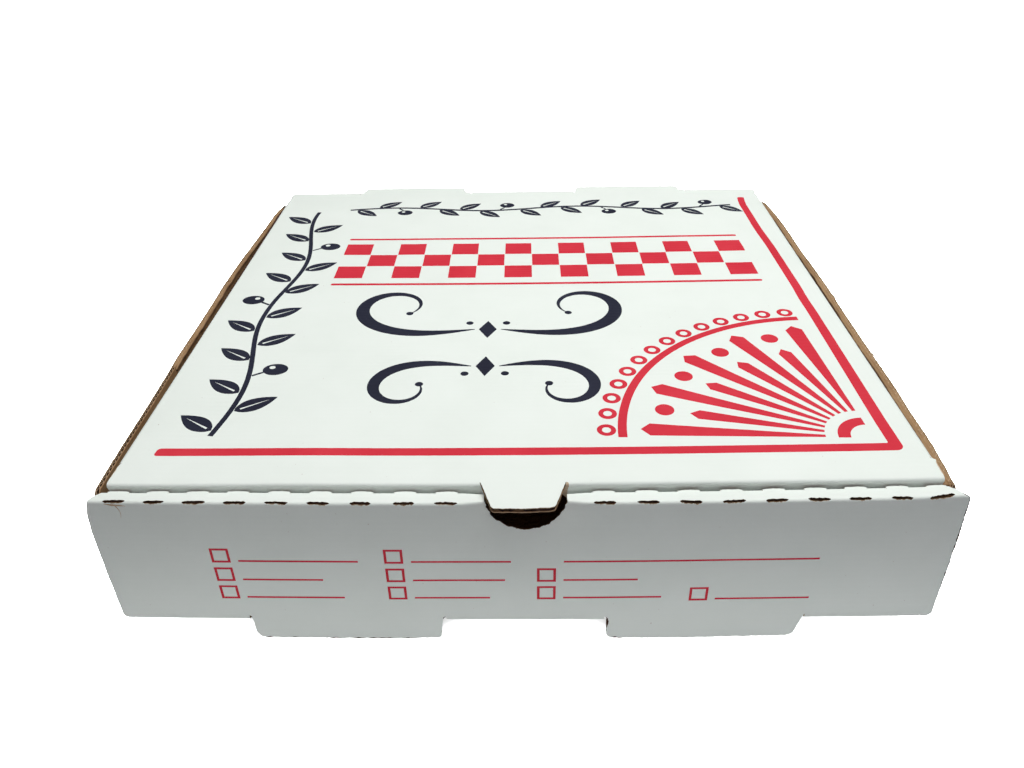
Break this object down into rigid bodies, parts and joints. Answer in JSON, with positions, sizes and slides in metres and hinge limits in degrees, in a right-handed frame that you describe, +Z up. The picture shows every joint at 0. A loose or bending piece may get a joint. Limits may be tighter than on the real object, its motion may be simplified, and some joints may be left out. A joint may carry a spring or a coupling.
{
  "type": "pizza box",
  "caption": "Square shallow food box folded from one corrugated sheet, with a rolled front wall, front feet, a thumb notch and a tuck lid hinged at the rear crease.",
  "frame": {"origin": "bottom centre of the whole box, at the level of the front feet", "axes": "+X to the right seen from the front, front wall towards -Y, rear crease towards +Y, +Z up, square to the panels"},
  "size_m": [0.266, 0.2694, 0.0614],
  "materials": {
    "tray_board": "matt white liner outside, brown kraft inside and at raw edges",
    "lid_board": "matt white liner outside with printed ink, brown kraft inside and at raw edges"
  },
  "bodies": {
    "tray": {"tray": "tray_board"},
    "lid": {"lid": "lid_board"}
  },
  "joints": [
    {"name": "lid_hinge", "type": "hinge", "parent": "tray", "child": "lid", "pos_m": [0, 0.12825, 0.0614], "axis": [-1, 0, 0], "range_deg": [0, 175]}
  ]
}
